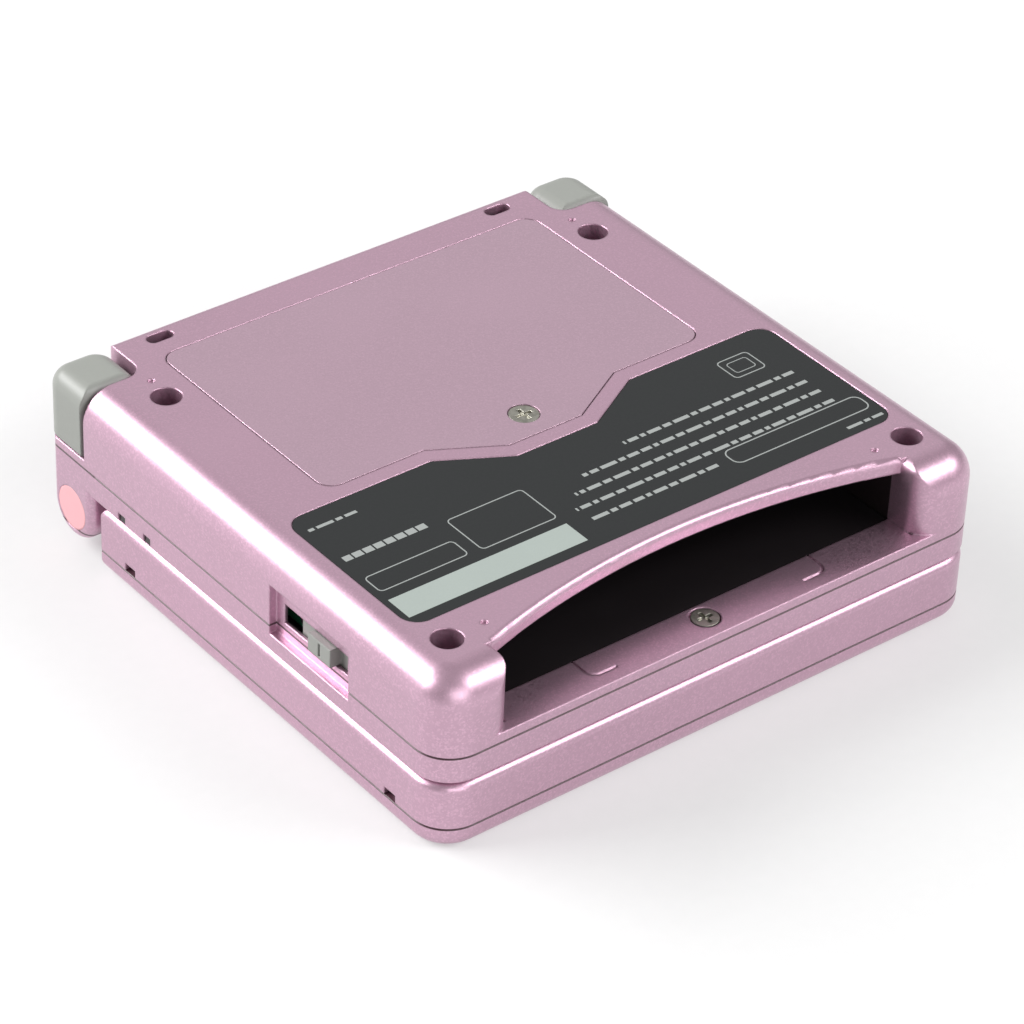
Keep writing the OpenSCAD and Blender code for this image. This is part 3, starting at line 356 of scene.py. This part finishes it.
def make_finishes():
    """The finish of each slot of the frame."""
    made = (
        metallic_paint("shell_paint", SHELL_MAUVE, EDGE, shells=True),
        metallic_paint("cover_paint", COVER_MAUVE, FINE_EDGE),
        moulded_plastic("cap_plastic", srgb(232, 172, 178), rough=0.45, relief=0.2, edge=EDGE),
        moulded_plastic("grey_plastic", srgb(143, 145, 140), rough=0.42, relief=0.35, edge=EDGE),
        moulded_plastic("button_plastic", srgb(188, 190, 192), rough=0.35, relief=0.2, edge=EDGE),
        moulded_plastic("black_plastic", srgb(24, 20, 22), rough=0.42, relief=0.4),
        moulded_plastic("guide_clear", srgb(150, 158, 158), rough=0.15, relief=0.1),
        moulded_plastic("tray_plastic", srgb(214, 214, 210), rough=0.5, relief=0.3),
        moulded_plastic("cable_film", srgb(196, 128, 52), rough=0.3, relief=0.15),
        moulded_plastic("led_clear", srgb(34, 28, 30), rough=0.15, relief=0.1),
        metal("screw_steel", srgb(176, 174, 164), rough=0.32, edge=FINE_EDGE),
        metal("pin_steel", srgb(196, 196, 196), rough=0.25),
        metal("port_metal", srgb(186, 186, 188), rough=0.3),
        metal("contact_gold", srgb(222, 186, 110), rough=0.22),
        soft_rubber("mat_rubber", srgb(176, 178, 176)),
        soft_rubber("plug_rubber", srgb(66, 66, 70)),
        printed_film("label_film", srgb(22, 25, 26)),
        printed_board("board_green", srgb(28, 92, 62)),
        woven_cloth("cloth", srgb(44, 42, 44)),
        screen_window("lens_glass", border=srgb(52, 54, 58), glass=srgb(120, 126, 128)),
        display("lcd_glass", gaps=srgb(66, 72, 72), pixels=srgb(92, 100, 98)),
        # the darker grey is painted shade in the wrap's creases
        shrink_wrap("battery_wrap", crease_shade=srgb(196, 196, 190), film=srgb(224, 224, 220)),
    )
    return {material.name: material for material in made}


def dress(cad, finishes):
    """Gives each solid of the frame the finish of its slot."""
    for part in cad["record"]["subparts"]:
        solid = cad["nodes"][part["node"]]
        solid.data.materials.clear()
        solid.data.materials.append(finishes[part["material_slot"]])


# ---------- the label's print ----------
def rounded_ring(x, y, radius):
    """Points round a rectangle with round corners. x and y are its (low, high)."""
    points = []
    for edge_x, edge_y, start in ((x[1], y[1], 0), (x[0], y[1], 90), (x[0], y[0], 180), (x[1], y[0], 270)):
        centre_x = edge_x + (radius if edge_x == x[0] else -radius)
        centre_y = edge_y + (radius if edge_y == y[0] else -radius)
        for step in range(CORNER_STEPS + 1):
            turn = math.radians(start + 90 * step / CORNER_STEPS)
            points.append((centre_x + radius * math.cos(turn), centre_y + radius * math.sin(turn)))
    return points


class Print:
    """Thin shapes that stand on the label. x and y are each shape's (low, high)."""

    def __init__(self):
        label_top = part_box("info_label")[1].z / MM
        self.low_z = label_top - PRINT_SINK
        self.high_z = label_top + PRINT_RISE
        self.bm = bmesh.new()

    def _ring(self, points, z):
        return [self.bm.verts.new(Vector((x, y, z)) * MM) for x, y in points]

    def bar(self, x, y):
        """A solid bar."""
        outline = ((x[0], y[0]), (x[1], y[0]), (x[1], y[1]), (x[0], y[1]))
        low = self._ring(outline, self.low_z)
        high = self._ring(outline, self.high_z)
        self.bm.faces.new(low[::-1])
        self.bm.faces.new(high)
        self._walls(low, high)

    def frame(self, x, y, width=0.16, radius=0.7):
        """A hollow frame with a line of the given width."""
        outer = rounded_ring(x, y, radius)
        inner = rounded_ring((x[0] + width, x[1] - width), (y[0] + width, y[1] - width), radius - width)
        rings = [self._ring(outer, self.low_z), self._ring(outer, self.high_z),
                 self._ring(inner, self.high_z), self._ring(inner, self.low_z)]
        for first, second in zip(rings, rings[1:] + rings[:1]):
            self._walls(first, second)

    def row(self, x, y, height, gap, lengths=WORDS):
        """Bars of the given lengths in turn, from the high end of x, on a line with its middle at y."""
        end = x[1]
        count = 0
        while end > x[0]:
            length = min(lengths[count % len(lengths)], end - x[0])
            self.bar((end - length, end), (y - height / 2, y + height / 2))
            end -= length + gap
            count += 1

    def _walls(self, first, second):
        """Faces between two rings of points."""
        for i in range(len(first)):
            j = (i + 1) % len(first)
            self.bm.faces.new((first[i], first[j], second[j], second[i]))


def make_piece(name, bm, material, body):
    mesh = bpy.data.meshes.new(name)
    bmesh.ops.recalc_face_normals(bm, faces=bm.faces)
    bm.to_mesh(mesh)
    bm.free()
    piece = bpy.data.objects.new(name, mesh)
    bpy.context.collection.objects.link(piece)
    mesh.materials.append(material)
    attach(piece, body)


def label_print():
    """Empty frames and rows of bars."""
    ink = Print()
    ink.frame((-36.3, -23.3), (-21.6, -18.2))
    ink.frame((-21.6, -10.2), (-21.8, -14.6))
    ink.frame((26.5, 31.6), (-11.4, -7.2))
    ink.frame((27.4, 30.7), (-10.5, -8.1), width=0.12, radius=0.5)
    ink.frame((14.4, 36.4), (-25.8, -22.6), width=0.18, radius=1.2)
    for row, reach in enumerate(LONG_ROWS):
        ink.row(reach, LONG_ROWS_FRONT + LONG_ROWS_PITCH * row, height=0.62, gap=0.45)
    ink.row((-36.0, -24.0), -14.0, height=1.0, gap=0.25, lengths=SQUARES)
    ink.row((-36.0, -29.0), -7.0, height=0.5, gap=0.4)
    ink.row((30.2, 36.4), -27.6, height=0.5, gap=0.4)
    grey = moulded_plastic("label_ink", srgb(150, 154, 152), rough=0.45, relief=0.1)
    make_piece("label_print", ink.bm, grey, "base")


def label_strip():
    """Pale bare strip in the label's front corner."""
    strip = Print()
    strip.bar((-36.5, -10.2), (-27.4, -23.3))
    pale = moulded_plastic("label_strip", srgb(156, 165, 160), rough=0.4, relief=0.15)
    make_piece("label_strip", strip.bm, pale, "base")


# ---------- camera, floor and light ----------
def camera_axes():
    """The camera's right, up and back."""
    azimuth, elevation, roll = (math.radians(a) for a in (CAMERA_AZIMUTH, CAMERA_ELEVATION, CAMERA_ROLL))
    back = Vector((math.sin(azimuth) * math.cos(elevation), -math.cos(azimuth) * math.cos(elevation),
                   math.sin(elevation)))
    right = Vector((math.cos(azimuth), math.sin(azimuth), 0))
    up = back.cross(right)
    return (math.cos(roll) * right + math.sin(roll) * up, math.cos(roll) * up - math.sin(roll) * right, back)


def make_camera():
    right, up, back = camera_axes()
    data = bpy.data.cameras.new("photo_camera")
    data.lens = CAMERA_LENS
    data.sensor_width = SENSOR_WIDTH
    data.clip_start = CAMERA_NEAR * MM
    camera = bpy.data.objects.new("photo_camera", data)
    place = (Vector(CAMERA_TARGET) + back * CAMERA_DISTANCE) * MM
    camera.matrix_world = Matrix.Translation(place) @ Matrix((right, up, back)).transposed().to_4x4()
    bpy.context.collection.objects.link(camera)
    bpy.context.scene.camera = camera


def floor_white():
    """White to the camera, in mirrors and through glass, with the object's shadow, and grey to all else."""
    f = Finish("floor_white")
    first, second = ((grey, grey, grey) for grey in FLOOR_GREYS)
    diffuse = f.add("ShaderNodeBsdfDiffuse", {}, {"Color": f.mix(f.noise(2.0), first, second)})
    glow = f.add("ShaderNodeEmission", {}, {"Color": colour(WHITE), "Strength": FLOOR_GLOW})
    lit = f.add("ShaderNodeAddShader", {}, {0: diffuse, 1: glow})
    path = f.add("ShaderNodeLightPath", {}, {})
    seen, glossy, clear = f.split(path, "Is Camera Ray", "Is Glossy Ray", "Is Transmission Ray")
    mixed = f.add("ShaderNodeMixShader", {}, {0: seen.most(glossy).most(clear), 1: diffuse, 2: lit})
    f.add("ShaderNodeOutputMaterial", {}, {"Surface": mixed})
    return f.data


def make_floor():
    bm = bmesh.new()
    reach = FLOOR_HALF * MM
    bm.faces.new([bm.verts.new((x * reach, y * reach, 0)) for x, y in ((-1, -1), (1, -1), (1, 1), (-1, 1))])
    mesh = bpy.data.meshes.new("floor")
    bm.to_mesh(mesh)
    bm.free()
    floor = bpy.data.objects.new("floor", mesh)
    bpy.context.collection.objects.link(floor)
    mesh.materials.append(floor_white())


def make_world():
    """White behind the object, and an even grey sky that lights it."""
    world = bpy.data.worlds.new("studio")
    world.use_nodes = True
    bpy.context.scene.world = world
    w = Nodes(world.node_tree)
    sky = w.add("ShaderNodeBackground", {}, {"Color": colour(WHITE), "Strength": SKY_STRENGTH})
    white = w.add("ShaderNodeBackground", {}, {"Color": colour(WHITE)})
    seen = w.add("ShaderNodeLightPath", {}, {}, "Is Camera Ray")
    mixed = w.add("ShaderNodeMixShader", {}, {0: seen, 1: sky, 2: white})
    w.add("ShaderNodeOutputWorld", {}, {"Surface": mixed})


def softbox(name, towards, distance, size, power):
    """A rectangular lamp of the given power in watts, that faces the object from that side."""
    data = bpy.data.lights.new(name, "AREA")
    data.shape = "RECTANGLE"
    data.size, data.size_y = (side * MM for side in size)
    data.energy = power
    lamp = bpy.data.objects.new(name, data)
    direction = Vector(towards).normalized()
    lamp.location = direction * distance * MM
    lamp.rotation_euler = direction.to_track_quat("Z", "Y").to_euler()
    bpy.context.collection.objects.link(lamp)


def make_light():
    make_world()
    softbox("window_left", towards=(-0.58, 0.62, 0.53), distance=1100, size=(1000, 450), power=17.0)
    softbox("window_right", towards=(0.53, -0.58, 0.62), distance=1200, size=(700, 400), power=7.5)
    softbox("overhead", towards=(0.53, 0.62, 0.58), distance=1400, size=(1000, 1000), power=1.2)
    softbox("front_fill", towards=(-0.2, -0.9, 0.35), distance=1300, size=(1000, 600), power=5.5)


# The finishes are made before the frame, whose own materials would otherwise hold their names.
slot_finishes = make_finishes()
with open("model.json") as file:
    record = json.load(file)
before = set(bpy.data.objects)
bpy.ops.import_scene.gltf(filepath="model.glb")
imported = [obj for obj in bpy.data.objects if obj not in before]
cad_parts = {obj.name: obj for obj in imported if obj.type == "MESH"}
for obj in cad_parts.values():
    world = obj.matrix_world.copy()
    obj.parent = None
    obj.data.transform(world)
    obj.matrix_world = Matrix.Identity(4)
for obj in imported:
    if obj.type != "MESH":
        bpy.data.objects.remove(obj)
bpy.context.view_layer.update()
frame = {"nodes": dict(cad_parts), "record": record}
dress(frame, slot_finishes)
label_print()
label_strip()
make_camera()
make_floor()
make_light()
bpy.context.scene.view_settings.view_transform = "Standard"
